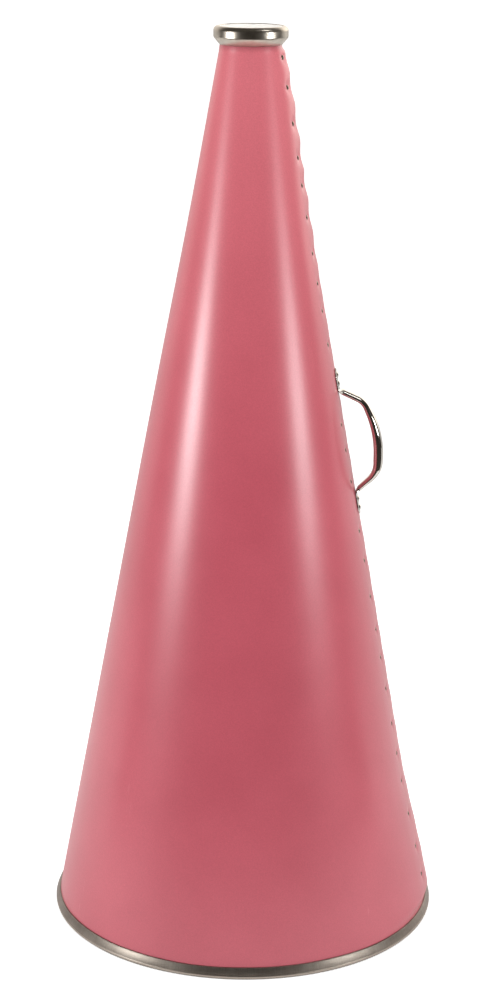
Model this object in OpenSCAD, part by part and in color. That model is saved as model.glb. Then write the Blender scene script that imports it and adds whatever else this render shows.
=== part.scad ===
// A cheer megaphone: a tall cone rolled from coated board, with its wide mouth on the floor.
// +Z is up along the cone's axis, and the origin is the middle of the bell rim's lower face.
// The carrying handle stands in the XZ plane on the +X side, over the lap seam.

/* [Cone] */
// Height from the floor to the crest of the mouthpiece ring
height = 813; // [700:1:900]
// Outer diameter of the cone at floor level
bell_d = 350.3; // [300:0.1:380]
// Outer diameter the cone would have at the height of the crest
throat_d = 47.6; // [46:0.1:52]
// Thickness of the rolled board
board_t = 1.4; // [1:0.1:1.6]

/* [Lap seam] */
// How far the inner layer of board runs on past the rivet row
lap_ahead = 9; // [6:0.5:14]
// How far the inner layer of board runs back past the plane of the handle
lap_behind = 16; // [12:1:24]
// Diameter of a seam rivet's round head
seam_head_d = 5; // [4:0.1:7]
// Height of a seam rivet's round head
seam_head_h = 1; // [0.8:0.1:2]
// Diameter of a seam rivet's shank
seam_shank_d = 2.6; // [2:0.1:3.2]
// How far hand setting moves a rivet along the seam
seam_wander = 2.5; // [0:0.5:5]

/* [Mouthpiece] */
// Outer diameter of the spun mouthpiece ring
ring_d = 64.8; // [63:0.1:70]
// Height of the mouthpiece ring
ring_h = 16; // [15:0.5:20]
// Thickness of the ring's sheet metal
ring_t = 0.9; // [0.6:0.1:1]
// Diameter of the ring's crest, where it turns in
crest_d = 56.8; // [55:0.1:58]
// Wall thickness of the white sleeve inside the ring
liner_t = 1; // [0.8:0.1:1.2]
// Depth of the white sleeve below the crest
liner_h = 18; // [16:0.5:18]

/* [Bell rim] */
// Height of the rim's band outside the cone
rim_h = 10.5; // [9:0.5:20]
// Height of the rim's flange inside the cone
flange_h = 8.5; // [7:0.5:16]
// Thickness of the rim's metal
rim_t = 1.2; // [0.8:0.1:1.6]
// Radius of the rounded hem under the rim
hem_r = 2.5; // [2:0.1:3]
// How far the hem stands out past the band's own line
hem_bulge = 1.4; // [0:0.1:2]

/* [Handle] */
// Height of the middle of the handle above the floor
handle_z = 448; // [400:1:500]
// Distance from the cone to the middle of the grip
handle_reach = 24.8; // [22:0.2:34]
// Thickness of the grip at its thickest
grip_t = 9; // [7:0.5:11]
// Width of the grip at its widest
grip_w = 14; // [11:0.5:15]
// Thickness of the bar where it meets a foot
root_t = 4.8; // [3:0.1:5]
// Width of the bar where it meets a foot
root_w = 9.5; // [7:0.5:11]
// Distance along the cone from the handle's middle to the start of each foot
foot_start = 46; // [44:1:50]
// Length of each flat foot
foot_l = 22; // [21:1:28]
// Width of each flat foot
foot_w = 15; // [12:0.5:18]
// Thickness of each flat foot
foot_t = 1.5; // [1:0.1:2.5]
// Diameter of the round heads that hold the feet
foot_head_d = 6.6; // [5:0.1:6.8]
// Height of the round heads that hold the feet
foot_head_h = 1.3; // [1:0.1:3]
// Diameter of the shanks that hold the feet
foot_shank_d = 3.4; // [3:0.1:4]
// Diameter of the washers behind the feet, inside the cone, less than the rivets' spacing
washer_d = 6.8; // [6.4:0.1:6.9]

/* [Hidden] */

// How finely curves are drawn in a preview
cone_fn = 180;
small_fn = 32;
// Gap that keeps neighbouring pieces from cutting into each other
gap = 0.1;
// How far a cutting shape runs on past what it cuts
spare = 5;

// The cone's wall: its slope, and what the board measures level and across
slope = (bell_d - throat_d) / 2 / height;
tilt = atan(slope);
board_dr = board_t / cos(tilt);
function cone_r(z) = bell_d / 2 - slope * z;

// The board stands in the bell rim's channel and ends in the waist of the mouthpiece
rim_floor = 1.2;
board_bottom = rim_floor + gap;
board_top = height - 12;

// The rivet row runs ahead of the handle, and leans away from it towards the bell
row_lead = 4.6;
row_lean = 0.067;
function row_y(z) = -row_lead - row_lean * cone_r(z);

// Runs of seam rivets above, beside and below the handle: heights of the ends, and the number in the run
rivet_runs = [[787, 538, 10], [466, 414, 3], [368, 35, 12]];
function run_z(run, i) = run[0] - (run[0] - run[1]) * i / (run[2] - 1);
function wander(run, i) = i > 0 && i < run[2] - 1 ? seam_wander * sin(100 * i) : 0;
rivet_zs = [for (run = rivet_runs) for (i = [0:run[2] - 1]) run_z(run, i) + wander(run, i)];

// Rivets in a foot, as distances along the cone from the handle's middle
foot_end = foot_start + foot_l;
foot_rivets = [foot_start + 8, foot_end - 6];

// Thickness of the board at the lap, and of the washers and peened ends behind it
lap_t = 2 * board_t;
washer_t = 1.2;
peen_h = 0.9;
// A flat disc clears the hollow face behind the lap by this much
hollow_gap = 0.25;

// Points on a round corner about c, from angle a to angle b
function arc(c, r, a, b, n = 8) =
    [for (i = [0:n]) c + r * [cos(a + (b - a) * i / n), sin(a + (b - a) * i / n)]];
function reversed(list) = [for (i = [len(list) - 1:-1:0]) list[i]];

// A solid cone that stands dr outside the board's outer face, from height z0 to z1
module cone_body(dr, z0, z1) {
    translate([0, 0, z0])
        cylinder(h = z1 - z0, r1 = cone_r(z0) + dr, r2 = cone_r(z1) + dr, $fn = cone_fn);
}

// Places children on the cone at height z and side distance y: Z is square to the board, X down the slope
module on_cone(z, y = 0) {
    r = cone_r(z);
    rotate([0, 0, asin(y / r)])
        translate([r, 0, z])
            rotate([0, 90 - tilt, 0])
                children();
}

// Repeats children at the four rivet places in the handle's feet
module at_foot_rivets() {
    for (side = [-1, 1])
        for (x = foot_rivets)
            on_cone(handle_z)
                translate([side * x, 0, 0])
                    children();
}

// A rivet with its round head sitting at height z, and its peened end under z_end
module rivet(head_d, head_h, shank_d, peen_d, z, z_end) {
    ball_r = (head_d * head_d / 4 + head_h * head_h) / (2 * head_h);
    intersection() {
        translate([0, 0, z + head_h - ball_r])
            sphere(r = ball_r, $fn = small_fn);
        translate([0, 0, z])
            cylinder(h = head_h + spare, d = head_d + spare, $fn = small_fn);
    }
    translate([0, 0, z_end - peen_h])
        cylinder(h = z - z_end + peen_h + head_h / 2, d = shank_d, $fn = small_fn);
    translate([0, 0, z_end - peen_h])
        cylinder(h = peen_h, d = peen_d, $fn = small_fn);
}

// ---- Cone ----

// The second layer of board inside the cone, from ahead of the rivet row to behind the handle
module lap_layer() {
    low = flange_h + gap;
    high = height - liner_h - 2 * gap;
    intersection() {
        difference() {
            cone_body(-board_dr / 2, low, high);
            cone_body(-2 * board_dr, 0, height);
        }
        rotate([90, 0, 90])
            linear_extrude(bell_d)
                polygon([[row_y(0) - lap_ahead, 0], [lap_behind, 0],
                         [lap_behind, height], [row_y(height) - lap_ahead, height]]);
    }
}

// The rolled board, with a hole for every rivet
module cone_shell() {
    color([0.84, 0.40, 0.45])
    difference() {
        union() {
            difference() {
                cone_body(0, board_bottom, board_top);
                cone_body(-board_dr, 0, height);
            }
            lap_layer();
        }
        for (z = rivet_zs)
            on_cone(z, row_y(z))
                cylinder(h = 2 * spare, d = seam_shank_d + 2 * gap, center = true, $fn = small_fn);
        at_foot_rivets()
            cylinder(h = 2 * spare, d = foot_shank_d + 2 * gap, center = true, $fn = small_fn);
    }
}

// ---- Mouthpiece ----

ring_r = ring_d / 2;
crest_r = crest_d / 2;
lip_z = height - ring_h;
// The ring's side turns in at a knee towards its lower lip, and over a shoulder to its crest
knee_r = 3;
knee_c = [ring_r - knee_r, height - 8.6];
knee_a = -35;
shoulder_r = ring_r - crest_r;
shoulder_c = [crest_r, height - shoulder_r];
// A small inward curl finishes the crest
curl_r = 1.1;
curl_c = [crest_r, height - curl_r];
curl_z = height - 2.2;

// The ring's skin from its lip up to its crest, d inside the outer face
function ring_skin(d) = concat([[cone_r(lip_z + d) + gap, lip_z + d]],
    arc(knee_c, knee_r - d, knee_a, 0), arc(shoulder_c, shoulder_r - d, 0, 90, 12));

// The ring's curl from its crest down to its inner edge, d inside the outer face
function ring_curl(d) = concat(arc(curl_c, curl_r - d, 90, 180, 6), [[crest_r - curl_r + d, curl_z]]);

module mouthpiece_ring() {
    color([0.72, 0.68, 0.62])
    rotate_extrude($fn = cone_fn)
        polygon(concat(ring_skin(0), ring_curl(0), reversed(ring_curl(ring_t)), reversed(ring_skin(ring_t))));
}

// The white sleeve stands in the top of the board and flares out under the ring's curl
sleeve_r = cone_r(board_top) - board_dr - gap;
flare_r = crest_r - curl_r - gap;
sleeve_top = board_top + 1;
flare_z = height - 4;

module mouthpiece_liner() {
    outside = [[sleeve_r, height - liner_h], [sleeve_r, sleeve_top],
               [flare_r, flare_z], [flare_r, height - curl_r]];
    color([0.95, 0.94, 0.92])
    rotate_extrude($fn = cone_fn)
        polygon(concat(outside, [for (p = reversed(outside)) p - [liner_t, 0]]));
}

// ---- Bell rim ----

// A metal channel that wraps the lower edge of the board: band, rounded hem and inner flange
module bell_rim() {
    hem_c = [cone_r(hem_r) + gap + rim_t + hem_bulge - hem_r, hem_r];
    toe_c = [cone_r(rim_t) - board_dr - gap, rim_t];
    band_r = cone_r(rim_h) + gap;
    flange_r = cone_r(flange_h) - board_dr - gap;
    color([0.55, 0.53, 0.50])
    rotate_extrude($fn = cone_fn)
        polygon(concat(arc(toe_c, rim_t, 180, 270), arc(hem_c, hem_r, -90, 10),
            [[band_r + rim_t, rim_h], [band_r, rim_h],
             [cone_r(rim_floor) + gap, rim_floor], [cone_r(rim_floor) - board_dr - gap, rim_floor],
             [flange_r, flange_h], [flange_r - rim_t, flange_h]]));
}

// ---- Handle ----

// The bar's centre line beside the cone: x runs down the slope from the handle's middle, and y
// away from the board. Two steep legs rise from the feet, and the grip between is one long shallow bow.
leg_x = foot_start + 1.2;
leg_y = 0.3;
leg_steps = 3;
// Corners of the centre line from foot to foot, each with the radius and the steps of its bend
bar_corners = [[-leg_x, leg_y, 0, 0], [-33.8, handle_reach - 5.2, 16, 6],
               [-2, handle_reach + 3.1, 90, 8], [32.5, handle_reach - 3.8, 22, 8], [leg_x, leg_y, 0, 0]];
function corner(i) = [bar_corners[i][0], bar_corners[i][1]];

function unit(v) = v / norm(v);
// Points on the round corner at p, on the way from point a to point b
function bend(p, a, b, r, n) =
    let (to_a = unit(a - p), to_b = unit(b - p), half = acos(to_a * to_b) / 2,
         c = p + unit(to_a + to_b) * r / sin(half), out = atan2(p[1] - c[1], p[0] - c[0]))
    arc(c, r, out + 90 - half, out - 90 + half, n);
bends = [for (i = [1:3]) bend(corner(i), corner(i - 1), corner(i + 1), bar_corners[i][2], bar_corners[i][3])];
function between(a, b, n) = [for (i = [1:n - 1]) a + (b - a) * i / n];
function last(list) = list[len(list) - 1];
bar_path = concat([corner(0)], between(corner(0), bends[0][0], leg_steps),
    bends[0], between(last(bends[0]), bends[1][0], leg_steps),
    bends[1], between(last(bends[1]), bends[2][0], leg_steps),
    bends[2], between(last(bends[2]), corner(4), leg_steps), [corner(4)]);

// The bar swells towards the lower half of the grip, and tapers to both feet
swell_x = 20;
function swell(x) = pow(cos(90 * min(1, abs(x - swell_x) / (x < swell_x ? 84 : 28))), 2);
function along(i) = unit(bar_path[min(i + 1, len(bar_path) - 1)] - bar_path[max(i - 1, 0)]);
bar_sides = 24;
// One oval ring of the bar, square to its centre line
function bar_ring(i) =
    let (p = bar_path[i], d = along(i), s = swell(p[0]),
         t = root_t + (grip_t - root_t) * s, w = root_w + (grip_w - root_w) * sqrt(s))
    [for (k = [0:bar_sides - 1])
        let (a = 360 * k / bar_sides, out = t / 2 * cos(a))
        [p[0] - d[1] * out, w / 2 * sin(a), p[1] + d[0] * out]];

module bar() {
    rings = len(bar_path);
    side_faces = [for (i = [0:rings - 2]) for (k = [0:bar_sides - 1]) for (half = [0, 1])
        let (a = i * bar_sides + k, b = i * bar_sides + (k + 1) % bar_sides)
        half == 0 ? [a, b, b + bar_sides] : [a, b + bar_sides, a + bar_sides]];
    caps = [[for (k = [bar_sides - 1:-1:0]) k], [for (k = [0:bar_sides - 1]) (rings - 1) * bar_sides + k]];
    polyhedron(points = [for (i = [0:rings - 1]) each bar_ring(i)], faces = concat(side_faces, caps));
}

// A flat foot with round ends, from the bar's root outwards
module foot() {
    translate([0, 0, -foot_t])
        linear_extrude(2 * foot_t) {
            for (x = [foot_start, foot_end])
                translate([x + (x == foot_start ? foot_w / 2 : -foot_w / 2), 0])
                    circle(d = foot_w, $fn = 2 * small_fn);
            translate([foot_start + foot_w / 2, -foot_w / 2])
                square([foot_l - foot_w, foot_w]);
        }
}

// One pressed piece: the bar and both feet, hollowed underneath to lie on the cone
module handle() {
    reach_z = foot_end + spare;
    color([0.75, 0.73, 0.70])
    difference() {
        union() {
            on_cone(handle_z)
                bar();
            on_cone(handle_z)
                foot();
            on_cone(handle_z)
                mirror([1, 0, 0])
                    foot();
        }
        cone_body(gap / 4, handle_z - reach_z, handle_z + reach_z);
        at_foot_rivets()
            cylinder(h = 2 * spare, d = foot_shank_d + 2 * gap, center = true, $fn = small_fn);
    }
}

// ---- Rivets ----

washer_face = -lap_t - hollow_gap;

module handle_rivets() {
    color([0.78, 0.75, 0.70])
    at_foot_rivets()
        rivet(foot_head_d, foot_head_h, foot_shank_d, foot_shank_d + 2, foot_t, washer_face - washer_t);
}

module handle_washers() {
    color([0.66, 0.64, 0.60])
    at_foot_rivets()
        translate([0, 0, washer_face - washer_t])
            difference() {
                cylinder(h = washer_t, d = washer_d, $fn = small_fn);
                translate([0, 0, -spare])
                    cylinder(h = washer_t + 2 * spare, d = foot_shank_d + 2 * gap, $fn = small_fn);
            }
}

module seam_rivets() {
    color([0.62, 0.55, 0.50])
    for (z = rivet_zs)
        on_cone(z, row_y(z))
            rivet(seam_head_d, seam_head_h, seam_shank_d, seam_shank_d + 2, 0, washer_face);
}

cone_shell();
mouthpiece_ring();
mouthpiece_liner();
bell_rim();
handle();
handle_rivets();
handle_washers();
seam_rivets();
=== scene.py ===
import math

import bpy
import numpy as np
from mathutils import Matrix


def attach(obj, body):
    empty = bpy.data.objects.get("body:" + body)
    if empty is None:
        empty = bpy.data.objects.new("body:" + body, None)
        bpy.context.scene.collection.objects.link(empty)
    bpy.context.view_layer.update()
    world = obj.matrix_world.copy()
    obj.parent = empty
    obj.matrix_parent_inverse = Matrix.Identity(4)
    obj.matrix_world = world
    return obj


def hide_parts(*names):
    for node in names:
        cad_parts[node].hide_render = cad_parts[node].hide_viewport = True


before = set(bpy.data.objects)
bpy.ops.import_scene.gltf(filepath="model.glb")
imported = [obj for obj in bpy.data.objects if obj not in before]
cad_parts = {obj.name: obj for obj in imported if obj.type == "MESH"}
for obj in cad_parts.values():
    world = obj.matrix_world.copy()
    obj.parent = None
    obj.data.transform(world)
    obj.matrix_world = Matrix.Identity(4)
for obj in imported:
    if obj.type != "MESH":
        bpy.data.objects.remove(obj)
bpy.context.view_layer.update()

# A cheer megaphone: a cone rolled from coated board with a riveted lap seam, a spun nickel
# mouthpiece with a white sleeve in it, a folded steel rim round the bell, and a riveted handle.
# Sizes are in metres. +Z is up the cone's axis, and the handle stands over +X.

MM = 0.001

# ---- Sizes that repeat the CAD model's ----

HEIGHT = 813 * MM
BELL_R = 175.15 * MM
THROAT_R = 23.8 * MM
SLOPE = (BELL_R - THROAT_R) / HEIGHT
TILT = math.atan(SLOPE)
BOARD_T = 1.4 * MM
BOARD_DR = BOARD_T / math.cos(TILT)
BOARD_LOW, BOARD_HIGH = 1.3 * MM, 801 * MM
GAP = 0.1 * MM

HANDLE_Z = 448 * MM
FOOT_END, FOOT_W, FOOT_T = 68 * MM, 15 * MM, 1.5 * MM
FOOT_RIVETS = (54 * MM, 62 * MM)        # from the handle's middle, down or up the slope

ROW_LEAD, ROW_LEAN = 4.6 * MM, 0.067
RIVET_RUNS = ((787, 538, 10), (466, 414, 3), (368, 35, 12))
ROW_WANDER = 2.5 * MM

RIM_T, HEM_R, HEM_BULGE = 1.2 * MM, 2.5 * MM, 1.4 * MM
RIM_EDGE_R = 0.35 * MM
BAND_SWELL = 0.2 * MM       # the band's outer face is a little rounded
GROOVE_Z, GROOVE_DEPTH = 3.9 * MM, 0.45 * MM    # a groove parts the band from its rolled hem
BAND_TOP, BAND_KINK, FLANGE_TOP, RIM_FLOOR = 10.5 * MM, 6 * MM, 8.5 * MM, 1.2 * MM
RING_R, CREST_R, RING_T = 32.4 * MM, 28.4 * MM, 0.9 * MM
LIP_Z = 797 * MM

# ---- How the board was lapped, and what riveting it by hand did ----

LAP_BEHIND = 16 * MM        # the outer layer ends this far behind the handle's plane
LAP_AHEAD = 9 * MM          # the hidden layer runs on this far past the rivet row
EDGE_GAP = 0.3 * MM         # between the free edge and the layer that goes under it
LAYER_GAP = 0.08 * MM
TAB_LOW, TAB_HIGH = 40 * MM, 770 * MM   # the hidden layer is cut away beside both metal rims
TAB_CHAMFER = 20 * MM
RAMP_TURN = math.radians(70)            # the board steps inwards over this turn before the edge
# Columns and rows of the board's grid, closest beside the free edge
NEAR_WIDTH, LATE_WIDTH = 50 * MM, 12 * MM
NEAR_COLUMNS, ROUND_COLUMNS, LATE_COLUMNS, TAB_COLUMNS, BOARD_ROWS = 30, 91, 6, 18, 272
DIMPLE_DEPTH, DIMPLE_R = 1.3 * MM, 4.4 * MM
# Between rivets the outer layer lifts off towards its free edge, most where the cone is narrow
LIFT_LOW, LIFT_HIGH = 0.4 * MM, 2.4 * MM
LIFT_ROUND, HOLD_ALONG = 15 * MM, 11 * MM
LIFT_MORE_LOW, LIFT_MORE_HIGH = 560 * MM, 700 * MM
# The feet press the lift flat between these distances from the handle's middle, as (free, held)
HELD_INSIDE, HELD_OUTSIDE = (36 * MM, 42 * MM), (82 * MM, 72 * MM)
RIM_CLEAR = 2 * MM          # the board is already true this far before each metal rim
# The seam side is a little flat along the cone's middle, and stands proud near both ends
FLAT_DEPTH, PROUD_TOP, PROUD_LOW = -1.85 * MM, 3.6 * MM, 4.9 * MM
BOW_MIDDLE, BOW_SPREAD = math.radians(3), math.radians(45)
WAIST_Z, WAIST_DEPTH, WAIST_REACH = 660 * MM, -1.1 * MM, 110 * MM


def cone_r(z):
    """Radius of the board's outer face at height z."""
    return BELL_R - SLOPE * z


def row_y(z):
    """Side distance of the rivet row at height z."""
    return -ROW_LEAD - ROW_LEAN * cone_r(z)


def rivet_heights():
    """Heights of the seam rivets, with the small errors of hand setting."""
    found = []
    for top, low, count in RIVET_RUNS:
        for i in range(count):
            inside = 0 < i < count - 1
            wander = ROW_WANDER * math.sin(math.radians(100 * i)) if inside else 0
            found.append((top - (top - low) * i / (count - 1)) * MM + wander)
    return np.array(found)


RIVET_ZS = rivet_heights()


def smooth(x, low, high):
    """0 below low, 1 above high and an even curve between. Works backwards if low is above high."""
    t = np.clip((x - low) / (high - low), 0, 1)
    return t * t * (3 - 2 * t)


def on_cone(z, y=0.0):
    """A place on the board at height z and side distance y: Z is square to it, X down the slope."""
    r = cone_r(z)
    return (Matrix.Rotation(math.asin(y / r), 4, "Z") @ Matrix.Translation((r, 0, z))
            @ Matrix.Rotation(math.pi / 2 - TILT, 4, "Y"))


# ---- Mesh building ----

def new_piece(name, points, faces, materials, nodes, face_materials=None, sharp=32):
    """A smooth-shaded piece that rides on the one body and stands for its CAD nodes."""
    mesh = bpy.data.meshes.new(name)
    mesh.from_pydata([tuple(p) for p in points], [], faces)
    for m in materials:
        mesh.materials.append(m)
    if face_materials is not None:
        mesh.polygons.foreach_set("material_index", np.asarray(face_materials, np.int32))
    mesh.shade_smooth()
    mesh.set_sharp_from_angle(angle=math.radians(sharp))
    mesh.validate()
    mesh.update()
    piece = bpy.data.objects.new(name, mesh)
    bpy.context.scene.collection.objects.link(piece)
    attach(piece, "root")
    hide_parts(*nodes)
    return piece


def sheet_solid(outer, inner, cells):
    """Points, faces and face kinds of the closed sheet between two grids, over the cells in use.
    The kinds are 0 outer face, 1 inner face and 2 edge."""
    used = np.zeros((cells.shape[0] + 1, cells.shape[1] + 1), bool)
    for i in (0, 1):
        for j in (0, 1):
            used[i:i + cells.shape[0], j:j + cells.shape[1]] |= cells
    count = int(used.sum())
    ids = np.full(used.shape, -1)
    ids[used] = np.arange(count)
    i, j = np.nonzero(cells)
    corners = [ids[i, j], ids[i, j + 1], ids[i + 1, j + 1], ids[i + 1, j]]
    face_sets = [np.stack(corners, 1), np.stack(corners[::-1], 1) + count]
    padded = np.pad(cells, 1)
    sides = (((-1, 0), 0, 1), ((0, 1), 1, 2), ((1, 0), 2, 3), ((0, -1), 3, 0))
    for (di, dj), a, b in sides:
        bare = ~padded[i + 1 + di, j + 1 + dj]
        p, q = corners[a][bare], corners[b][bare]
        face_sets.append(np.stack([q, p, p + count, q + count], 1))
    kinds = [np.full(len(f), min(k, 2)) for k, f in enumerate(face_sets)]
    points = np.concatenate([outer[used], inner[used]])
    return points, np.concatenate(face_sets).tolist(), np.concatenate(kinds)


def revolved(section, turns, warp=None):
    """Points and faces of a closed section of (r, z) points turned about Z, with an optional
    warp(angle, r, z) that gives the real r and z at an angle."""
    section = np.asarray(section, float)
    angle = np.arange(turns) * 2 * math.pi / turns
    a, r = np.meshgrid(angle, section[:, 0], indexing="ij")
    z = np.broadcast_to(section[:, 1], r.shape)
    if warp:
        r, z = warp(a, r, z)
    points = np.stack([r * np.cos(a), r * np.sin(a), z], -1).reshape(-1, 3)
    n = len(section)
    faces = []
    for k in range(turns):
        here, there = k * n, (k + 1) % turns * n
        for i in range(n):
            j = (i + 1) % n
            faces.append((here + i, there + i, there + j, here + j))
    return points, faces


def turned(profile, sides):
    """Points and faces of a turned part whose (r, z) profile runs from its top pole to its
    low one."""
    (_, top), *middle, (_, low) = profile
    points = [(0, 0, top)]
    for r, z in middle:
        for k in range(sides):
            a = 2 * math.pi * k / sides
            points.append((r * math.cos(a), r * math.sin(a), z))
    points.append((0, 0, low))
    last = len(points) - 1
    faces = []
    for k in range(sides):
        j = (k + 1) % sides
        faces.append((0, 1 + k, 1 + j))
        for i in range(len(middle) - 1):
            a, b = 1 + i * sides, 1 + (i + 1) * sides
            faces.append((a + k, b + k, b + j, a + j))
        a = 1 + (len(middle) - 1) * sides
        faces.append((last, a + j, a + k))
    return np.array(points), faces


def repeated(points, faces, places):
    """One mesh's points and faces at several places, each a matrix."""
    all_points, all_faces = [], []
    for place in places:
        m = np.array(place)
        start = sum(len(p) for p in all_points)
        all_points.append(points @ m[:3, :3].T + m[:3, 3])
        all_faces += [tuple(start + i for i in f) for f in faces]
    return np.concatenate(all_points), all_faces


def arc(centre, radius, start, end, count=8):
    """Points round a corner, from angle start to angle end in degrees."""
    a = np.radians(np.linspace(start, end, count + 1))
    return [(centre[0] + radius * math.cos(t), centre[1] + radius * math.sin(t)) for t in a]


# ---- Node helpers ----

def add(tree, kind, inputs=None, **settings):
    """A shader node with its settings, and inputs that are sockets to link or plain values."""
    made = tree.nodes.new("ShaderNode" + kind)
    for name, value in settings.items():
        setattr(made, name, value)
    for name, value in (inputs or {}).items():
        if isinstance(value, bpy.types.NodeSocket):
            tree.links.new(value, made.inputs[name])
        else:
            made.inputs[name].default_value = value
    return made


def srgb(r, g, b):
    """A colour picked on screen, 0 to 255, as the linear colour a shader takes."""
    def linear(c):
        c /= 255
        return c / 12.92 if c <= 0.04045 else ((c + 0.055) / 1.055) ** 2.4
    return (linear(r), linear(g), linear(b), 1)


def start_material(name):
    """A new node material: its tree, its main shader and the piece's own coordinates."""
    made = bpy.data.materials.new(name)
    made.use_nodes = True
    tree = made.node_tree
    place = add(tree, "TexCoord").outputs["Object"]
    return made, tree, tree.nodes["Principled BSDF"], place


def noise(tree, where, scale, detail=2.0, roughness=0.5):
    """Noise from 0 to 1 with about scale lumps to the metre."""
    made = add(tree, "TexNoise", {"Vector": where, "Scale": scale, "Detail": detail,
                                  "Roughness": roughness})
    return made.outputs["Fac"]


def spread(tree, value, low, high, to_low=0.0, to_high=1.0):
    """value from low..high carried to to_low..to_high, and held there."""
    return add(tree, "MapRange", {"Value": value, "From Min": low, "From Max": high,
                                  "To Min": to_low, "To Max": to_high}).outputs["Result"]


def math_node(tree, operation, a, b=0.0):
    """One sum, product or the like of sockets or plain values."""
    return add(tree, "Math", {0: a, 1: b}, operation=operation).outputs[0]


def mixed(tree, share, a, b, how="MIX"):
    """Colours a and b mixed by share."""
    made = add(tree, "Mix", {0: share, 6: a, 7: b}, data_type="RGBA", blend_type=how)
    return made.outputs[2]


def bump(tree, height, strength, distance):
    """A shading normal for a surface that rises by distance where height is 1."""
    return add(tree, "Bump", {"Height": height, "Strength": strength,
                              "Distance": distance}).outputs["Normal"]


def scaled(tree, where, x, y, z):
    """Coordinates stretched by a different amount each way."""
    return add(tree, "Mapping", {"Vector": where, "Scale": (x, y, z)}).outputs["Vector"]


def round_place(tree, where, radial, turn, up):
    """Coordinates that follow a turned part: distance from its axis, angle and height."""
    parts = add(tree, "SeparateXYZ", {"Vector": where}).outputs
    squares = math_node(tree, "ADD", math_node(tree, "POWER", parts["X"], 2.0),
                        math_node(tree, "POWER", parts["Y"], 2.0))
    r = math_node(tree, "MULTIPLY", math_node(tree, "SQRT", squares), radial)
    angle = math_node(tree, "MULTIPLY", math_node(tree, "ARCTAN2", parts["Y"], parts["X"]), turn)
    z = math_node(tree, "MULTIPLY", parts["Z"], up)
    return add(tree, "CombineXYZ", {"X": r, "Y": angle, "Z": z}).outputs["Vector"]


# ---- Materials ----

SHEEN, SHEEN_ROUGH, SHEEN_TINT = 0.11, 0.55, (1.0, 0.9, 0.8, 1)
# The first is a painted glow on the white sleeve, the second the floor's lift for the camera
SLEEVE_PAINTED_GLOW, FLOOR_LIFT = 0.22, 0.5
HEM_HIGHLIGHT_LOW, HEM_HIGHLIGHT_HIGH = 3.4 * MM, 3.9 * MM        # the hem's painted highlight fades out between these


def coated_board():
    """Pink coated board: faint mottle, a fine pebble in the coating, and rubbed marks low down."""
    made, tree, shader, place = start_material("pink_coated_board")
    mottle = spread(tree, noise(tree, place, 14, 4), 0.35, 0.65)
    colour = mixed(tree, mottle, srgb(189, 79, 95), srgb(196, 85, 101))
    height = add(tree, "SeparateXYZ", {"Vector": place}).outputs["Z"]
    # Painted light: the colour is made paler towards the mouth, standing in for the brighter light
    # that falls on the cone's top
    colour = mixed(tree, spread(tree, height, 0.42, 0.8, 0.0, 0.5), colour, srgb(224, 126, 134))
    # Painted shade: the board is darkened just under the mouthpiece's lip, where its shadow falls
    lip_shade = spread(tree, height, LIP_Z - 5 * MM, LIP_Z, 0.0, 0.4)
    colour = mixed(tree, lip_shade, colour, srgb(132, 52, 62))
    grain = noise(tree, place, 900, 3, 0.65)
    fleck = spread(tree, grain, 0.3, 0.7)
    colour = mixed(tree, fleck, colour, mixed(tree, 1.0, colour, srgb(236, 232, 232), "MULTIPLY"))
    # Thin pale scuffs along the slope, mostly near the bell where it stands and is set down
    streaks = noise(tree, scaled(tree, place, 60, 60, 5), 1.0, 6, 0.7)
    thin = spread(tree, streaks, 0.66, 0.71)
    low_down = spread(tree, height, 0.22, 0.02, 0.04, 0.22)
    scuff = math_node(tree, "MULTIPLY", thin, low_down)
    colour = mixed(tree, scuff, colour, srgb(232, 150, 156))
    tree.links.new(colour, shader.inputs["Base Color"])
    rough = spread(tree, grain, 0.25, 0.75, 0.29, 0.35)
    tree.links.new(rough, shader.inputs["Roughness"])
    shader.inputs["Specular IOR Level"].default_value = 1.0
    shader.inputs["Sheen Weight"].default_value = SHEEN
    shader.inputs["Sheen Roughness"].default_value = SHEEN_ROUGH
    shader.inputs["Sheen Tint"].default_value = SHEEN_TINT
    pebble = math_node(tree, "ADD", noise(tree, place, 1500, 2),
                       math_node(tree, "MULTIPLY", noise(tree, place, 260, 3), 0.8))
    tree.links.new(bump(tree, pebble, 0.35, 0.05 * MM), shader.inputs["Normal"])
    return made


def board_lining():
    """The board's pale inner face, with the fibres of grey chip board showing through."""
    made, tree, shader, place = start_material("board_lining")
    cloud = noise(tree, place, 22, 5)
    colour = mixed(tree, cloud, srgb(222, 214, 202), srgb(236, 230, 221))
    fibre = spread(tree, noise(tree, scaled(tree, place, 300, 300, 90), 1.0, 4, 0.7), 0.52, 0.66)
    colour = mixed(tree, math_node(tree, "MULTIPLY", fibre, 0.35), colour, srgb(176, 164, 150))
    tree.links.new(colour, shader.inputs["Base Color"])
    shader.inputs["Roughness"].default_value = 0.78
    tooth = noise(tree, place, 700, 4, 0.7)
    tree.links.new(bump(tree, tooth, 0.5, 0.12 * MM), shader.inputs["Normal"])
    return made


def raw_edge():
    """The cut edge of the board: pressed layers of grey and buff pulp."""
    made, tree, shader, place = start_material("board_cut_edge")
    layers = noise(tree, round_place(tree, place, 2600, 20, 60), 1.0, 4, 0.6)
    colour = mixed(tree, spread(tree, layers, 0.35, 0.65), srgb(196, 138, 138), srgb(216, 172, 168))
    tree.links.new(colour, shader.inputs["Base Color"])
    shader.inputs["Roughness"].default_value = 0.85
    tree.links.new(bump(tree, layers, 0.6, 0.15 * MM), shader.inputs["Normal"])
    return made


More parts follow.
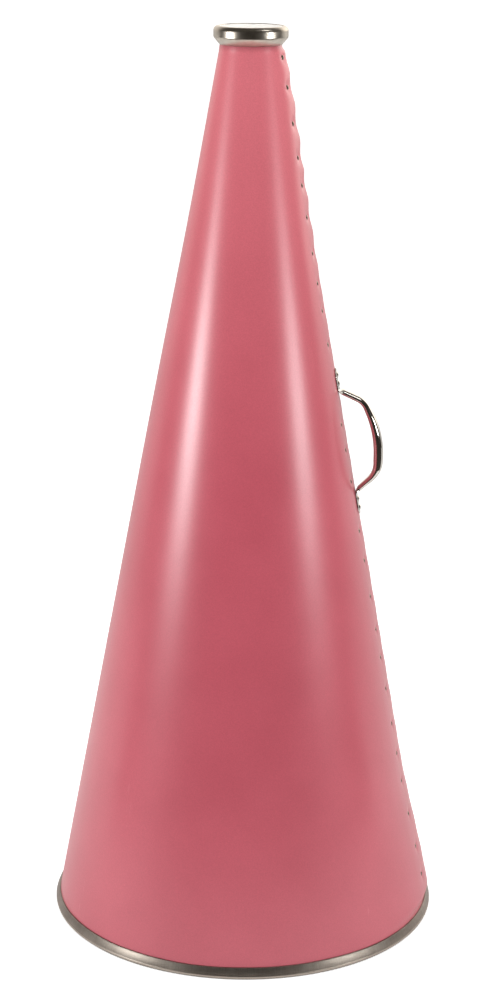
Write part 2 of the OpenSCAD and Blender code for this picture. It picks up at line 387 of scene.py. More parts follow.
def nickel(name, low, high, rough_low, rough_high, lines=(2200, 6, 2200), tooth=0.12):
    """Nickel plate: warm grey, a little cloudy, with fine lines left by the turning or
    polishing."""
    made, tree, shader, place = start_material(name)
    cloud = spread(tree, noise(tree, place, 160, 4), 0.3, 0.7)
    tree.links.new(mixed(tree, cloud, low, high), shader.inputs["Base Color"])
    shader.inputs["Metallic"].default_value = 1.0
    fine = noise(tree, round_place(tree, place, *lines), 1.0, 4, 0.6)
    smear = noise(tree, place, 420, 3, 0.6)
    mark = math_node(tree, "ADD", math_node(tree, "MULTIPLY", fine, 0.6),
                     math_node(tree, "MULTIPLY", smear, 0.4))
    rough = spread(tree, mark, 0.35, 0.65, rough_low, rough_high)
    tree.links.new(rough, shader.inputs["Roughness"])
    tree.links.new(bump(tree, fine, tooth, 0.02 * MM), shader.inputs["Normal"])
    return made


def brushed_steel():
    """The bell rim's steel: upright brushing, dull stains, and a painted highlight along the hem.
    """
    made, tree, shader, place = start_material("rim_brushed_steel")
    brushed = noise(tree, round_place(tree, place, 60, 420, 40), 1.0, 5, 0.7)
    stain = spread(tree, noise(tree, place, 48, 5, 0.6), 0.4, 0.62)
    colour = mixed(tree, spread(tree, brushed, 0.3, 0.7), srgb(140, 132, 123), srgb(172, 163, 153))
    colour = mixed(tree, math_node(tree, "MULTIPLY", stain, 0.35), colour, srgb(92, 83, 76))
    # Painted highlight: the hem's lower stretch is made lighter, standing for the lit line along
    # its rounded edge, with a mottle of finer wear over the band
    height = add(tree, "SeparateXYZ", {"Vector": place}).outputs["Z"]
    hem = math_node(tree, "MULTIPLY", spread(tree, height, HEM_HIGHLIGHT_HIGH, HEM_HIGHLIGHT_LOW),
                    spread(tree, height, 1.4 * MM, 2.4 * MM))
    colour = mixed(tree, math_node(tree, "MULTIPLY", hem, 0.5), colour, srgb(214, 203, 190))
    speck = spread(tree, noise(tree, place, 900, 3, 0.7), 0.35, 0.65)
    colour = mixed(tree, math_node(tree, "MULTIPLY", speck, 0.25), colour, srgb(178, 168, 156))
    tree.links.new(colour, shader.inputs["Base Color"])
    shader.inputs["Metallic"].default_value = 1.0
    tree.links.new(spread(tree, brushed, 0.3, 0.7, 0.36, 0.48), shader.inputs["Roughness"])
    tree.links.new(bump(tree, brushed, 0.25, 0.06 * MM), shader.inputs["Normal"])
    return made


def white_sleeve():
    """The white sleeve in the mouthpiece: matt moulded plastic with a faint grain."""
    made, tree, shader, place = start_material("white_sleeve")
    cloud = noise(tree, place, 90, 4)
    tree.links.new(mixed(tree, cloud, srgb(236, 233, 227), srgb(247, 245, 241)),
                   shader.inputs["Base Color"])
    grain = noise(tree, place, 1400, 3)
    tree.links.new(spread(tree, grain, 0.3, 0.7, 0.5, 0.62), shader.inputs["Roughness"])
    tree.links.new(bump(tree, grain, 0.3, 0.03 * MM), shader.inputs["Normal"])
    # Painted light: a weak glow makes the sleeve read white, though no lamp is in it
    shader.inputs["Emission Color"].default_value = srgb(250, 247, 242)
    shader.inputs["Emission Strength"].default_value = SLEEVE_PAINTED_GLOW
    return made


def floor_paper():
    """Pale studio paper with a barely visible tooth."""
    made, tree, shader, place = start_material("studio_paper")
    cloud = noise(tree, place, 3, 3)
    tree.links.new(mixed(tree, cloud, (0.90, 0.90, 0.90, 1), (0.93, 0.93, 0.93, 1)),
                   shader.inputs["Base Color"])
    shader.inputs["Roughness"].default_value = 0.9
    shader.inputs["Specular IOR Level"].default_value = 0.1
    # Lifted to near white for the camera alone, as a studio lights its paper apart
    to_camera = add(tree, "LightPath").outputs["Is Camera Ray"]
    shader.inputs["Emission Color"].default_value = (1, 1, 1, 1)
    tree.links.new(math_node(tree, "MULTIPLY", to_camera, FLOOR_LIFT),
                   shader.inputs["Emission Strength"])
    return made


def card_paper():
    """Matt black card with a faint mottle."""
    made, tree, shader, place = start_material("black_card")
    cloud = noise(tree, place, 4, 3)
    tree.links.new(mixed(tree, cloud, (0.042, 0.037, 0.033, 1), (0.056, 0.050, 0.044, 1)),
                   shader.inputs["Base Color"])
    shader.inputs["Roughness"].default_value = 0.95
    shader.inputs["Specular IOR Level"].default_value = 0.0
    return made


# ---- Cone ----

def free_edge(z):
    """Angle round the axis of the outer layer's free edge at height z."""
    return np.arcsin(LAP_BEHIND / cone_r(z))


def lap_columns(z):
    """Turns back from the free edge of the grid's columns at each height: once round the cone and
    on under its own edge. Also the number of columns before the hidden tab."""
    r = cone_r(z)[:, None]
    near = np.linspace(0, NEAR_WIDTH, NEAR_COLUMNS + 1)[None] / r
    last = 2 * math.pi - EDGE_GAP / r
    late = last - np.linspace(LATE_WIDTH, 0, LATE_COLUMNS + 1)[None] / r
    share = np.linspace(0, 1, ROUND_COLUMNS + 1)[None, 1:-1]
    round_back = near[:, -1:] + (late[:, :1] - near[:, -1:]) * share
    first = np.concatenate([near, round_back, late], 1)
    tab_end = np.arcsin((row_y(z) - LAP_AHEAD) / cone_r(z))
    tab_width = (free_edge(z) - tab_end)[:, None] + EDGE_GAP / r
    chamfer = smooth(z, TAB_LOW, TAB_LOW + TAB_CHAMFER)
    chamfer = chamfer * smooth(z, TAB_HIGH, TAB_HIGH - TAB_CHAMFER)
    width = tab_width * (0.05 + 0.95 * chamfer[:, None])
    tab = last + width * np.linspace(0, 1, TAB_COLUMNS + 1)[None, 1:]
    return np.concatenate([first, tab], 1), first.shape[1]


def board_rows():
    """Heights of the grid's rows, closer together beside the rivets and both metal rims."""
    z = np.linspace(BOARD_LOW, BOARD_HIGH, 4000)
    density = 1 + 1.5 * np.exp(-((z[:, None] - RIVET_ZS) / (8 * MM)) ** 2).sum(1)
    density += 2.5 * np.exp(-((z - BAND_TOP - 3 * MM) / (5 * MM)) ** 2)
    density += 1.5 * np.exp(-((z - LIP_Z + 4 * MM) / (6 * MM)) ** 2)
    total = np.concatenate([[0], np.cumsum((density[1:] + density[:-1]) / 2)])
    return np.interp(np.linspace(0, total[-1], BOARD_ROWS), total, z)


def wrapped(turn):
    """An angle brought to within half a turn of zero."""
    return (turn + math.pi) % (2 * math.pi) - math.pi


def seam_window(turn):
    """1 on the seam side of the cone, falling to 0 an eighth of a turn away."""
    off = wrapped(turn - BOW_MIDDLE)
    return np.cos(np.clip(off / BOW_SPREAD, -1, 1) * math.pi / 2) ** 2


def seam_bow(turn, z):
    """The seam side's unevenness, held true where the metal rims grip the board."""
    line = FLAT_DEPTH + PROUD_TOP * smooth(z, 615 * MM, 795 * MM)
    line = line + PROUD_LOW * smooth(z, 145 * MM, 20 * MM)
    waist = WAIST_DEPTH * np.exp(-((z - WAIST_Z) / WAIST_REACH) ** 2) * (1 - seam_window(turn))
    return (line * seam_window(turn) + waist) * seam_ends(z)


def rivet_dimples(turn, z):
    """How far each rivet head sinks the board round it."""
    across = wrapped(turn - np.arcsin(row_y(z) / cone_r(z))) * cone_r(z)
    sunk = np.zeros_like(across)
    for rivet_z in RIVET_ZS:
        along = (z - rivet_z) / math.cos(TILT)
        sunk = np.maximum(sunk, np.exp(-(across ** 2 + along ** 2) / DIMPLE_R ** 2))
    return DIMPLE_DEPTH * sunk


def edge_lift(turn, z):
    """How far the outer layer lifts between its rivet row and its free edge. The feet hold it."""
    across = wrapped(turn - np.arcsin(row_y(z) / cone_r(z))) * cone_r(z)
    held = np.zeros_like(across)
    for rivet_z in RIVET_ZS:
        held = np.maximum(held, np.exp(-((z - rivet_z) / HOLD_ALONG) ** 2))
    amount = LIFT_LOW + (LIFT_HIGH - LIFT_LOW) * smooth(z, LIFT_MORE_LOW, LIFT_MORE_HIGH)
    from_handle = np.abs(z - HANDLE_Z)
    under_foot = smooth(from_handle, *HELD_INSIDE) * smooth(from_handle, *HELD_OUTSIDE)
    return amount * smooth(across, 0, LIFT_ROUND) * (1 - held) * (1 - under_foot) * seam_ends(z)


def seam_ends(z):
    """1 along the cone, falling to 0 just short of where the metal rims grip the board."""
    low_end, high_end = BAND_TOP + RIM_CLEAR, LIP_Z - RIM_CLEAR
    return smooth(z, low_end, low_end + 5 * MM) * smooth(z, high_end, high_end - 4 * MM)


def board_offset(turn, z):
    """How far the board's outer face stands off the true cone."""
    return seam_bow(turn, z) - rivet_dimples(turn, z)


def cone_board(outer_look, inner_look, edge_look):
    """The rolled board as one closed sheet: once round, then stepping in under its own edge."""
    z = board_rows()
    after, first_count = lap_columns(z)
    after = after[:, ::-1]
    turn = free_edge(z)[:, None] - after
    height = np.repeat(z[:, None], turn.shape[1], 1)
    full_turn = (2 * math.pi - EDGE_GAP / cone_r(z))[:, None]
    step = smooth(after, full_turn - RAMP_TURN, full_turn - 0.03)
    ends = smooth(z, 15 * MM, TAB_LOW - 2 * MM) * smooth(z, 795 * MM, TAB_HIGH + 2 * MM)
    r = cone_r(height) + board_offset(turn, height) + edge_lift(turn, height) * (after < math.pi)
    r -= step * (BOARD_DR + LAYER_GAP) * ends[:, None]
    outer = np.stack([r * np.cos(turn), r * np.sin(turn), height], -1)
    r_in = r - BOARD_DR
    inner = np.stack([r_in * np.cos(turn), r_in * np.sin(turn), height], -1)
    cells = np.ones((len(z) - 1, turn.shape[1] - 1), bool)
    outside_tab = (z[:-1] < TAB_LOW) | (z[1:] > TAB_HIGH)
    cells[outside_tab, :turn.shape[1] - first_count] = False
    points, faces, kinds = sheet_solid(outer, inner, cells)
    return new_piece("cone_board", points, faces, [outer_look, inner_look, edge_look],
                     ["cone_shell"], kinds, sharp=50)


# ---- Mouthpiece ----

# Centres of the ring's round stretches as (r, z), and their radii
KNEE_R, KNEE_START = 3 * MM, -35
KNEE = (RING_R - KNEE_R, 804.4 * MM)
SHOULDER, SHOULDER_R = (CREST_R, 809 * MM), RING_R - CREST_R
CURL, CURL_R, CURL_Z = (CREST_R, 811.9 * MM), 1.1 * MM, 810.8 * MM
RING_WOBBLE = 0.06 * MM
NICK_Z, NICK_HIGH, NICK_SLANT, NICK_DEPTH = 800.3 * MM, 1.1 * MM, 2.2 * MM, 0.35 * MM
SLEEVE_T, SLEEVE_LOW, SLEEVE_TOP, SLEEVE_LIP = 1 * MM, 795 * MM, 812.5 * MM, 0.4 * MM
NICK_TURN, NICK_HALF = math.radians(-93), math.radians(3.4)   # where the lip's spun end shows


def ring_line(inset):
    """The mouthpiece ring's line from its lower lip to its crest and curl, inset from its face."""
    lip = LIP_Z + inset
    line = [(cone_r(lip) + GAP, lip), (cone_r(lip) + GAP + 0.25 * MM, lip + 0.1 * MM)]
    line += arc(KNEE, KNEE_R - inset, KNEE_START, 0, 10)
    line += arc(SHOULDER, SHOULDER_R - inset, 0, 90, 16)
    line += arc(CURL, CURL_R - inset, 90, 180, 8)[1:]
    return line + [(CREST_R - CURL_R + inset, CURL_Z)]


def ring_warp(a, r, z):
    """A little out of round, with a nick in the lower bevel where the lip was dressed."""
    r = r + RING_WOBBLE * np.sin(3 * a + 0.8) * smooth(z, LIP_Z, 806 * MM)
    off = wrapped(a - NICK_TURN)
    along = off / NICK_HALF + (z - NICK_Z) / NICK_SLANT
    nick = np.exp(-along ** 2 * 1.5) * np.exp(-((z - NICK_Z) / NICK_HIGH) ** 2)
    return r - NICK_DEPTH * nick * np.exp(-(off / NICK_HALF) ** 2), z


def mouthpiece_bead(look):
    """The spun ring: a thin shell between its line and the same line inset."""
    section = ring_line(0) + ring_line(RING_T)[::-1]
    points, faces = revolved(section, 256, ring_warp)
    return new_piece("mouthpiece_bead", points, faces, [look], ["mouthpiece_ring"])


def mouthpiece_sleeve(look):
    """The white sleeve in the mouth of the cone, flared out to meet the ring's curl."""
    sleeve_r = cone_r(BOARD_HIGH) - BOARD_DR - GAP
    flare_r = CREST_R - CURL_R - GAP
    wall, top, low, lip = SLEEVE_T, SLEEVE_TOP, SLEEVE_LOW, SLEEVE_LIP
    outside = [(sleeve_r, low + 0.2 * MM), (sleeve_r, 802 * MM), (sleeve_r + 0.3 * MM, 803 * MM),
               (flare_r - 0.3 * MM, 808.2 * MM), (flare_r, 809 * MM)]
    round_lip = arc((flare_r - lip, top - lip), lip, 0, 90, 5)
    inside_lip = arc((flare_r - wall + lip, top - lip), lip, 90, 180, 5)
    inside = [(r - wall, z) for r, z in outside[::-1]]
    low_edge = [(sleeve_r - wall + 0.2 * MM, low), (sleeve_r - 0.2 * MM, low)]
    section = outside + round_lip + inside_lip + inside + low_edge
    points, faces = revolved(section, 160)
    return new_piece("mouthpiece_sleeve", points, faces, [look],
                     ["mouthpiece_liner"])


# ---- Bell rim ----

def rim_warp(a, r, z):
    """Folding left the band a little uneven: its top edge wavers and its face has shallow lands."""
    high = smooth(z, 3 * MM, BAND_TOP)
    waver = 0.16 * np.sin(5 * a + 1) + 0.10 * np.sin(13 * a + 2.2) + 0.06 * np.sin(29 * a)
    lands = 0.5 * np.sin(9 * a + 0.6) + 0.5 * np.sin(17 * a + 1.9)
    outside = r > cone_r(z)
    return r + 0.05 * MM * lands * outside * smooth(z, 0.5 * MM, 3 * MM), z + MM * waver * high


def bell_rim(look):
    """The folded channel on the lower edge of the board: band, rounded hem and inner flange."""
    hem = (cone_r(HEM_R) + GAP + RIM_T + HEM_BULGE - HEM_R, HEM_R)
    toe = (cone_r(RIM_T) - BOARD_DR - GAP, RIM_T)
    band_r = cone_r(BAND_TOP) + GAP
    flange_r = cone_r(FLANGE_TOP) - BOARD_DR - GAP
    edge = RIM_EDGE_R
    section = arc(toe, RIM_T, 180, 270, 6) + arc(hem, HEM_R, -90, 24, 14)
    low = np.array([hem[0] + HEM_R - 0.1 * MM, GROOVE_Z + 0.5 * MM])
    high = np.array([band_r + RIM_T, BAND_TOP - edge])
    section.append((low[0] - GROOVE_DEPTH, GROOVE_Z))
    for share in np.linspace(0, 1, 9)[:-1]:
        r, z = low + (high - low) * share
        section.append((r + BAND_SWELL * 4 * share * (1 - share), z))
    section += arc((band_r + RIM_T - edge, BAND_TOP - edge), edge, 0, 90, 4)
    floor_r = cone_r(RIM_FLOOR)
    section += [(band_r, BAND_TOP), (cone_r(BAND_KINK) + GAP, BAND_KINK),
                (floor_r + GAP, RIM_FLOOR), (floor_r - BOARD_DR - GAP, RIM_FLOOR)]
    section += arc((flange_r - edge, FLANGE_TOP - edge), edge, 0, 90, 3)
    section += arc((flange_r - RIM_T + edge, FLANGE_TOP - edge), edge, 90, 180, 3)
    points, faces = revolved(section, 400, rim_warp)
    return new_piece("bell_rim_channel", points, faces, [look], ["bell_rim"])


# ---- Handle ----

ROOT_T, GRIP_T, ROOT_W, GRIP_W = 4.8 * MM, 9 * MM, 9.5 * MM, 14 * MM
SWELL_X, SWELL_UP, SWELL_DOWN = 20 * MM, 84 * MM, 28 * MM
# Corners of the bar's middle line in mm (down the slope, out from the true cone) and their radii
BAR_CORNERS = ((68, -1.09, 0), (46.9, -1.09, 4), (32.5, 21.0, 22), (-2, 27.9, 90),
               (-33.8, 19.6, 16), (-47.8, -1.09, 4), (-68, -1.09, 0))
BAR_STEP, BAR_SIDES, CORNER_STEPS = 0.7 * MM, 40, 40
# The bar flattens into its foot between these heights of its middle line over the cone
PAD_FREE, PAD_FLAT = 2.6 * MM, -0.9 * MM
FOOT_TIP_W, FOOT_CLEAR = 0.6 * MM, 0.03 * MM


def rounded_path(corners, step):
    """Evenly stepped points along a line whose corners, (x, y, radius) in mm, are rounded."""
    pts = [np.array(c[:2]) * MM for c in corners]
    line = [pts[0]]
    for i in range(1, len(pts) - 1):
        back, ahead = pts[i - 1] - pts[i], pts[i + 1] - pts[i]
        back, ahead = back / np.linalg.norm(back), ahead / np.linalg.norm(ahead)
        half = math.acos(back @ ahead) / 2
        radius = corners[i][2] * MM
        middle = (back + ahead) / np.linalg.norm(back + ahead)
        centre = pts[i] + middle * radius / math.sin(half)
        start = pts[i] + back * radius / math.tan(half) - centre
        end = pts[i] + ahead * radius / math.tan(half) - centre
        a, b = math.atan2(start[1], start[0]), math.atan2(end[1], end[0])
        b = a + wrapped(b - a)
        for t in np.linspace(a, b, CORNER_STEPS):
            line.append(centre + radius * np.array([math.cos(t), math.sin(t)]))
    line.append(pts[-1])
    line = np.array(line)
    length = np.concatenate([[0], np.cumsum(np.linalg.norm(np.diff(line, axis=0), axis=1))])
    even = np.linspace(0, length[-1], int(length[-1] / step) + 1)
    return np.stack([np.interp(even, length, line[:, k]) for k in (0, 1)], 1)


def bar_size(x, out):
    """Thickness, width and squareness of the bar at a point of its middle line."""
    reach = np.where(x < SWELL_X, SWELL_UP, SWELL_DOWN)
    swell = np.cos(math.pi / 2 * np.minimum(1, np.abs(x - SWELL_X) / reach)) ** 2
    thick = ROOT_T + (GRIP_T - ROOT_T) * swell
    width = ROOT_W + (GRIP_W - ROOT_W) * np.sqrt(swell)
    pad = smooth(out, PAD_FREE, PAD_FLAT)
    from_tip = np.clip(FOOT_END - np.abs(x), 0, FOOT_W / 2)
    rounded = (FOOT_W / 2) ** 2 - (FOOT_W / 2 - from_tip) ** 2
    foot_w = 2 * np.sqrt(np.maximum(rounded, FOOT_TIP_W ** 2))
    thick = thick + (FOOT_T - thick) * pad
    width = width + (foot_w - width) * pad
    return thick, width, 2.2 + 2.6 * pad


def handle_bar(look):
    """One forged piece: a flat foot on the cone, a sharp bend, a leg, and the swelling grip."""
    path = rounded_path(BAR_CORNERS, BAR_STEP)
    ahead = np.gradient(path, axis=0)
    ahead /= np.linalg.norm(ahead, axis=1)[:, None]
    out = np.stack([ahead[:, 1], -ahead[:, 0]], 1)
    thick, width, square = bar_size(path[:, 0], path[:, 1])
    a = np.linspace(0, 2 * math.pi, BAR_SIDES, endpoint=False)
    power = 2 / square[:, None]
    c = np.sign(np.cos(a)) * np.abs(np.cos(a)) ** power
    s = np.sign(np.sin(a)) * np.abs(np.sin(a)) ** power
    x = path[:, :1] + out[:, :1] * c * thick[:, None] / 2
    up = path[:, 1:] + out[:, 1:] * c * thick[:, None] / 2
    y = s * width[:, None] / 2
    here_r = cone_r(HANDLE_Z - x * math.cos(TILT))
    sag = y ** 2 / (2 * here_r)
    pad = smooth(path[:, 1:], PAD_FREE, PAD_FLAT)
    seat = seam_bow(np.arcsin(y / here_r), HANDLE_Z)
    up = np.maximum(up - sag * pad, seat + FOOT_CLEAR - sag)
    rings, sides = x.shape
    points = np.stack([x, y, up], -1).reshape(-1, 3)
    faces = [(i * sides + k, i * sides + (k + 1) % sides, (i + 1) * sides + (k + 1) % sides,
              (i + 1) * sides + k) for i in range(rings - 1) for k in range(sides)]
    faces.append(tuple(range(sides - 1, -1, -1)))
    faces.append(tuple((rings - 1) * sides + k for k in range(sides)))
    points, faces = repeated(points, faces, [on_cone(HANDLE_Z)])
    return new_piece("handle_bar", points, faces, [look], ["handle"], sharp=40)


# ---- Rivets and washers ----

PEEN_H = 0.9 * MM                       # height of a rivet's peened end
WASHER_FACE = -(2 * BOARD_T + LAYER_GAP + 0.2 * MM)
WASHER_T = 1.2 * MM
RIVET_LEAN, RIVET_PROUD = 0.05, 0.1 * MM        # most that a hand-set rivet leans or stands off
# Each kind's head radius, head height, shank radius and peened radius
FOOT_RIVET = (3.3 * MM, 1.3 * MM, 1.7 * MM, 2.7 * MM)
SEAM_RIVET = (2.5 * MM, 1.0 * MM, 1.3 * MM, 2.3 * MM)


def rivet_profile(head_r, head_h, shank_r, peen_r, head_z, low_z):
    """(r, z) from the top of a domed head down its shank to its peened end."""
    ball = (head_r ** 2 + head_h ** 2) / (2 * head_h)
    top_a = math.asin(min(1, head_r / ball))
    profile = [(0, head_z + head_h)]
    for i in range(1, 9):
        a = top_a * i / 8
        profile.append((ball * math.sin(a), head_z + head_h - ball + ball * math.cos(a)))
    profile += [(head_r, head_z + 0.02 * MM), (head_r - 0.15 * MM, head_z - 0.1 * MM)]
    profile += [(shank_r, head_z - 0.1 * MM), (shank_r, low_z + PEEN_H)]
    profile += [(peen_r - 0.15 * MM, low_z + PEEN_H), (peen_r, low_z + 0.6 * MM),
                (peen_r - 0.2 * MM, low_z + 0.2 * MM), (peen_r * 0.6, low_z),
                (0, low_z + 0.05 * MM)]
    return profile


def foot_places():
    """Places of the handle's rivets, on the board's face where the seam side is flattened."""
    seat = float(seam_bow(0.0, HANDLE_Z))
    return [on_cone(HANDLE_Z) @ Matrix.Translation((side * x, 0, seat))
            for side in (-1, 1) for x in FOOT_RIVETS]


def foot_rivets(look):
    """The handle's rivets, through its feet, the board and the washers."""
    profile = rivet_profile(*FOOT_RIVET, FOOT_T, WASHER_FACE - WASHER_T - PEEN_H)
    points, faces = repeated(*turned(profile, 28), foot_places())
    return new_piece("handle_rivet_set", points, faces, [look],
                     ["handle_rivets"], sharp=40)


def foot_washers(look):
    """Round washers behind the feet, inside the cone, with their edges eased by stamping."""
    hole, rim, ease = 1.8 * MM, 3.4 * MM, 0.2 * MM
    top, low = WASHER_FACE, WASHER_FACE - WASHER_T
    section = [(hole, low + ease), (hole + ease, low), (rim - ease, low), (rim, low + ease),
               (rim, top - ease), (rim - ease, top), (hole + ease, top), (hole, top - ease)]
    points, faces = repeated(*revolved(section, 40), foot_places())
    return new_piece("handle_washer_set", points, faces, [look],
                     ["handle_washers"], sharp=25)


def seam_rivets(look):
    """The lap seam's rivets, each sunk with the board it pulls in and none quite square to it."""
    draw = np.random.default_rng(7)
    profile = rivet_profile(*SEAM_RIVET, 0.1 * MM, WASHER_FACE - PEEN_H)
    places = []
    for z in RIVET_ZS:
        lean = Matrix.Rotation(draw.uniform(-RIVET_LEAN, RIVET_LEAN), 4, "X")
        lean = lean @ Matrix.Rotation(draw.uniform(-RIVET_LEAN, RIVET_LEAN), 4, "Y")
        face = float(board_offset(np.arcsin(row_y(z) / cone_r(z)), z))
        sunk = Matrix.Translation((0, 0, face + draw.uniform(-RIVET_PROUD, RIVET_PROUD)))
        places.append(on_cone(z, row_y(z)) @ sunk @ lean)
    points, faces = repeated(*turned(profile, 24), places)
    return new_piece("seam_rivet_set", points, faces, [look], ["seam_rivets"], sharp=40)


# ---- Studio ----

CAMERA_TURN = math.radians(5)           # the camera stands this far from -Y towards +X
CAMERA_FAR, CAMERA_ASIDE, CAMERA_HIGH = 1984.4 * MM, 3.16 * MM, 958.9 * MM
CAMERA_PITCH, CAMERA_ROLL, CAMERA_LENS = math.radians(16.007), math.radians(0.566), 81.775

# Each light's power, and for the soft boxes its size
WASH_TURN, WASH_UP, WASH_ANGLE = math.radians(88), math.radians(18), 60
WASH_COLOUR, WASH_LEFT, WASH_RIGHT = (1.0, 0.94, 0.88), 0.87, 0.95
BOX_TURN, BOX_RIGHT_TURN = math.radians(66), math.radians(66) - 0.05    # from the camera
BOX_FAR, BOX_HIGH, BOX_SIZE, BOX_LEFT, BOX_RIGHT = 1.6, 0.62, (0.46, 0.32), 9.0, 6.0
FILL_FAR, FILL_HIGH, FILL_AIM, FILL_POWER, FILL_SIZE = 0.8, 1.7, 0.75, 8, (0.8, 0.8)
TOP_FAR, TOP_HIGH, TOP_AIM, TOP_POWER, TOP_SIZE = 0.8, 1.75, 0.45, 1.4, (0.3, 0.3)
SUN_POWER, SUN_ANGLE = 1.28, 110

FLOOR_HALF = 40
CARD_NEAR, CARD_FAR, CARD_LOW, CARD_HIGH = 0.7, 2.9, 0.01, 2.6
CARD_TURN, CARD_PANELS = math.radians(112), 24


def look_from(turn):
    """Level directions for a camera turned this far: towards it from the object, and its right."""
    return (np.array([math.sin(turn), -math.cos(turn), 0]),
            np.array([math.cos(turn), math.sin(turn), 0]))


def make_camera():
    """The camera that stands where the real one stood, with its small tilt and roll."""
    to_camera, right = look_from(CAMERA_TURN)
    up = np.array([0, 0, 1])
    ahead = -to_camera * math.cos(CAMERA_PITCH) - up * math.sin(CAMERA_PITCH)
    over = -to_camera * math.sin(CAMERA_PITCH) + up * math.cos(CAMERA_PITCH)
    c, s = math.cos(CAMERA_ROLL), math.sin(CAMERA_ROLL)
    x, y, z = right * c + over * s, over * c - right * s, -ahead
    place = to_camera * CAMERA_FAR + right * CAMERA_ASIDE + up * CAMERA_HIGH
    data = bpy.data.cameras.new("camera")
    data.lens, data.sensor_width = CAMERA_LENS, 36
    data.clip_start, data.clip_end = 0.05, 200
    camera = bpy.data.objects.new("camera", data)
    camera.matrix_world = Matrix([(x[i], y[i], z[i], place[i]) for i in range(3)] + [(0, 0, 0, 1)])
    bpy.context.scene.collection.objects.link(camera)
    bpy.context.scene.camera = camera


def soft_light(name, place, target, size, power, mirrored=True):
    """A rectangular soft box that faces target, unseen by the camera itself."""
    data = bpy.data.lights.new(name, "AREA")
    data.shape = "RECTANGLE"
    data.size, data.size_y = size
    data.energy = power
    lamp = bpy.data.objects.new(name, data)
    back = np.array(place, float) - np.array(target, float)
    back /= np.linalg.norm(back)
    side = np.cross((0, 0, 1), back) if abs(back[2]) < 0.99 else np.array([1.0, 0, 0])
    side /= np.linalg.norm(side)
    over = np.cross(back, side)
    lamp.matrix_world = Matrix([(side[i], over[i], back[i], place[i]) for i in range(3)]
                               + [(0, 0, 0, 1)])
    lamp.visible_camera = False
    lamp.visible_glossy = mirrored
    bpy.context.scene.collection.objects.link(lamp)


def soft_sun(name, turn, up, energy, angle, colour=(1, 1, 1)):
    """A broad even light that no metal mirrors, from this far round from -Y and this high."""
    data = bpy.data.lights.new(name, "SUN")
    data.energy, data.angle, data.color = energy, math.radians(angle), colour
    sun = bpy.data.objects.new(name, data)
    sun.rotation_euler = (math.pi / 2 - up, 0, turn)
    sun.visible_glossy = False
    bpy.context.scene.collection.objects.link(sun)


def make_lights():
    """Two soft boxes for the long highlights, a fill high in front, a broad soft sun over the
    whole floor, and a wash along each side."""
    boxes = (("box_left", -BOX_TURN, BOX_LEFT), ("box_right", BOX_RIGHT_TURN, BOX_RIGHT))
    for name, turn, power in boxes:
        out = look_from(CAMERA_TURN + turn)[0]
        soft_light(name, out * BOX_FAR + np.array([0, 0, BOX_HIGH]), (0, 0, BOX_HIGH),
                   BOX_SIZE, power)
    front = look_from(CAMERA_TURN)[0]
    soft_light("front_fill", front * FILL_FAR + np.array([0, 0, FILL_HIGH]), (0, 0, FILL_AIM),
               FILL_SIZE, FILL_POWER, mirrored=False)
    out = look_from(CAMERA_TURN + BOX_TURN)[0]
    soft_light("top_right", out * TOP_FAR + np.array([0, 0, TOP_HIGH]), (0, 0, TOP_AIM),
               TOP_SIZE, TOP_POWER)
    soft_sun("soft_sun", 0, math.radians(90), SUN_POWER, SUN_ANGLE)
    washes = (("wash_left", -WASH_TURN, WASH_LEFT), ("wash_right", WASH_TURN, WASH_RIGHT))
    for name, turn, energy in washes:
        soft_sun(name, CAMERA_TURN + turn, WASH_UP, energy, WASH_ANGLE, WASH_COLOUR)


def make_world():
    """White to the camera, soft grey as a fill, and to the gloss a dark room with a pale wall
    behind the object."""
    world = bpy.data.worlds.new("studio")
    bpy.context.scene.world = world
    world.use_nodes = True
    tree = world.node_tree
    shader = tree.nodes["Background"]
    way = add(tree, "TexCoord").outputs["Generated"]
    to_camera, right = look_from(CAMERA_TURN)
    ahead = add(tree, "VectorMath", {0: way, 1: tuple(-to_camera)}, operation="DOT_PRODUCT")
    aside = add(tree, "VectorMath", {0: way, 1: tuple(right)}, operation="DOT_PRODUCT")
    up = add(tree, "SeparateXYZ", {"Vector": way}).outputs["Z"]
    wall = math_node(tree, "MULTIPLY", spread(tree, ahead.outputs["Value"], 0.35, 0.6),
                     spread(tree, up, 0.72, 0.45))
    pale = mixed(tree, spread(tree, aside.outputs["Value"], -0.5, 0.5),
                 (0.85, 0.80, 0.75, 1), (2.0, 1.9, 1.75, 1))
    mirrored = mixed(tree, wall, (0.07, 0.062, 0.055, 1), pale)
    ray = add(tree, "LightPath").outputs
    seen = mixed(tree, ray["Is Glossy Ray"], (0.12, 0.12, 0.12, 1), mirrored)
    tree.links.new(mixed(tree, ray["Is Camera Ray"], seen, (1, 1, 1, 1)), shader.inputs["Color"])


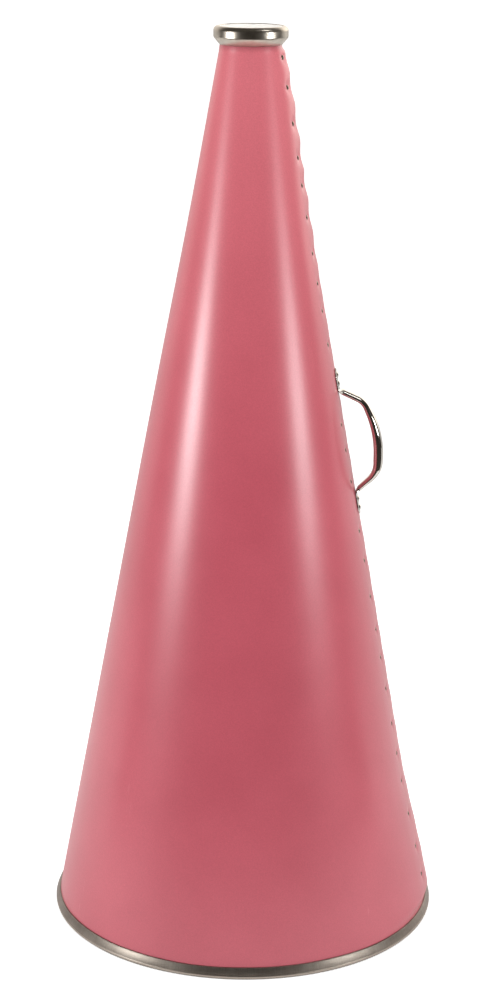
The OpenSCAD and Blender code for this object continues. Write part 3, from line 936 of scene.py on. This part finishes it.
def set_piece(name, points, faces, material):
    """A part of the studio set."""
    mesh = bpy.data.meshes.new(name)
    mesh.from_pydata([tuple(p) for p in points], [], faces)
    mesh.materials.append(material)
    made = bpy.data.objects.new(name, mesh)
    bpy.context.scene.collection.objects.link(made)
    return made


def make_set():
    """A pale floor, and a dark card seen only in reflections: it lies on the floor some way in
    front of the object and stands up curved round the camera's side."""
    corners = [(-FLOOR_HALF, -FLOOR_HALF, 0), (FLOOR_HALF, -FLOOR_HALF, 0),
               (FLOOR_HALF, FLOOR_HALF, 0), (-FLOOR_HALF, FLOOR_HALF, 0)]
    set_piece("floor", corners, [(0, 1, 2, 3)], floor_paper())
    points = []
    for turn in np.linspace(-CARD_TURN, CARD_TURN, CARD_PANELS + 1):
        out = look_from(CAMERA_TURN + turn)[0]
        near, far = out * CARD_NEAR, out * CARD_FAR
        points += [(near[0], near[1], CARD_LOW), (far[0], far[1], CARD_LOW),
                   (far[0], far[1], CARD_HIGH)]
    standing = [3 * i + 1 for i in range(CARD_PANELS)]
    lying = [3 * i for i in range(2, CARD_PANELS - 2)]
    faces = [(a, a + 3, a + 4, a + 1) for a in standing + lying]
    card = set_piece("dark_card", points, faces, card_paper())
    card.visible_camera = card.visible_diffuse = card.visible_shadow = False


def build():
    """The eight pieces, each from its own function, and the studio round them."""
    satin = nickel("satin_nickel", srgb(196, 187, 174), srgb(214, 205, 192), 0.28, 0.32,
                   tooth=0.05)
    bright = nickel("bright_nickel", srgb(212, 206, 198), srgb(228, 223, 215), 0.05, 0.11,
                    (900, 8, 300), 0.04)
    dull = nickel("rivet_nickel", srgb(128, 114, 102), srgb(166, 150, 136), 0.2, 0.32)
    cone_board(coated_board(), board_lining(), raw_edge())
    mouthpiece_bead(satin)
    mouthpiece_sleeve(white_sleeve())
    bell_rim(brushed_steel())
    handle_bar(bright)
    foot_rivets(bright)
    foot_washers(dull)
    seam_rivets(dull)
    make_set()
    make_lights()
    make_world()
    make_camera()
    bpy.context.scene.view_settings.view_transform = "Standard"


build()
